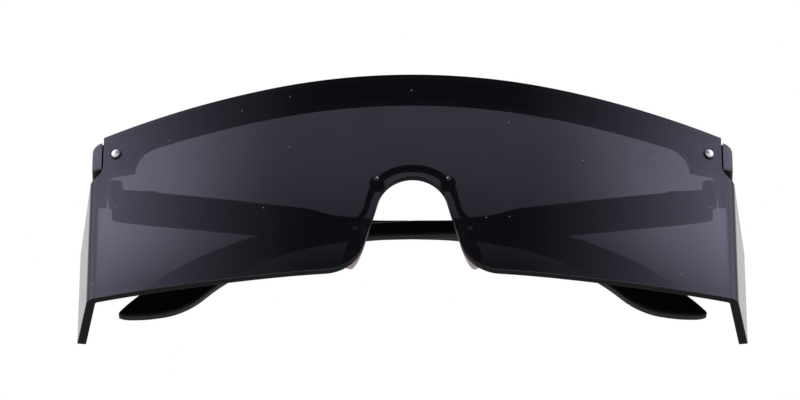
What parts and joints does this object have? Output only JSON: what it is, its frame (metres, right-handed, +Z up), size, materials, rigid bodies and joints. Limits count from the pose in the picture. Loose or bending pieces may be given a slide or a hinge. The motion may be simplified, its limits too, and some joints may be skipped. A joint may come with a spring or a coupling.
{
  "type": "wraparound sunglasses",
  "caption": "Folding wraparound sunglasses: a one-piece smoke shield lens with heat-bent side wings, a black brow frame, rocking nose pads and hinged temples.",
  "frame": {"origin": "middle of the glasses' own box in plan, on the level of the lens's straight lower edge", "axes": "+X to the wearer's left, -Y forwards out of the lens, +Z up; temples folded at rest"},
  "size_m": [0.1468, 0.0374, 0.047],
  "materials": {
    "smoke_lens": "polished grey-violet smoke polycarbonate, one piece, cut edges left bare",
    "black_frame": "moulded black plastic, satin to semi-gloss",
    "black_bush": "dull black nylon",
    "polished_steel": "bright polished heads",
    "hinge_steel": "dull nickel grey",
    "black_bridge": "black enamelled wire and lugs",
    "pad_core": "dark insert seen through the pad",
    "clear_pad": "translucent soft silicone, slightly pink"
  },
  "bodies": {
    "front": {"lens_shield": "smoke_lens", "brow_frame": "black_frame", "nose_bridge": "black_bridge", "nose_screw_left": "polished_steel", "nose_screw_right": "polished_steel", "corner_screw_left": "polished_steel", "corner_screw_right": "polished_steel", "corner_bush_left": "black_bush", "corner_bush_right": "black_bush", "corner_nut_left": "polished_steel", "corner_nut_right": "polished_steel", "hinge_front_left": "hinge_steel", "hinge_front_right": "hinge_steel", "hinge_screw_left": "polished_steel", "hinge_screw_right": "polished_steel", "pad_screw_left": "polished_steel", "pad_screw_right": "polished_steel"},
    "temple_left": {"temple_left": "black_frame", "hinge_temple_left": "hinge_steel"},
    "temple_right": {"temple_right": "black_frame", "hinge_temple_right": "hinge_steel"},
    "pad_left": {"nose_pad_left": "clear_pad", "pad_core_left": "pad_core"},
    "pad_right": {"nose_pad_right": "clear_pad", "pad_core_right": "pad_core"}
  },
  "joints": [
    {"name": "temple_left_hinge", "type": "hinge", "parent": "front", "child": "temple_left", "pos_m": [0.0652, 0.01049, 0.0323], "axis": [0.0136, 0, -0.9999], "range_deg": [0, 91.5]},
    {"name": "temple_right_hinge", "type": "hinge", "parent": "front", "child": "temple_right", "pos_m": [-0.0652, 0.01049, 0.0323], "axis": [-0.0136, 0, 0.9999], "range_deg": [0, 88.5]},
    {"name": "pad_left_rock", "type": "hinge", "parent": "front", "child": "pad_left", "pos_m": [0.0131, -0.00936, 0.0129], "axis": [0.4226, 0.9063, 0], "range_deg": [-8, 8]},
    {"name": "pad_right_rock", "type": "hinge", "parent": "front", "child": "pad_right", "pos_m": [-0.0131, -0.00936, 0.0129], "axis": [-0.4226, 0.9063, 0], "range_deg": [-8, 8]}
  ]
}
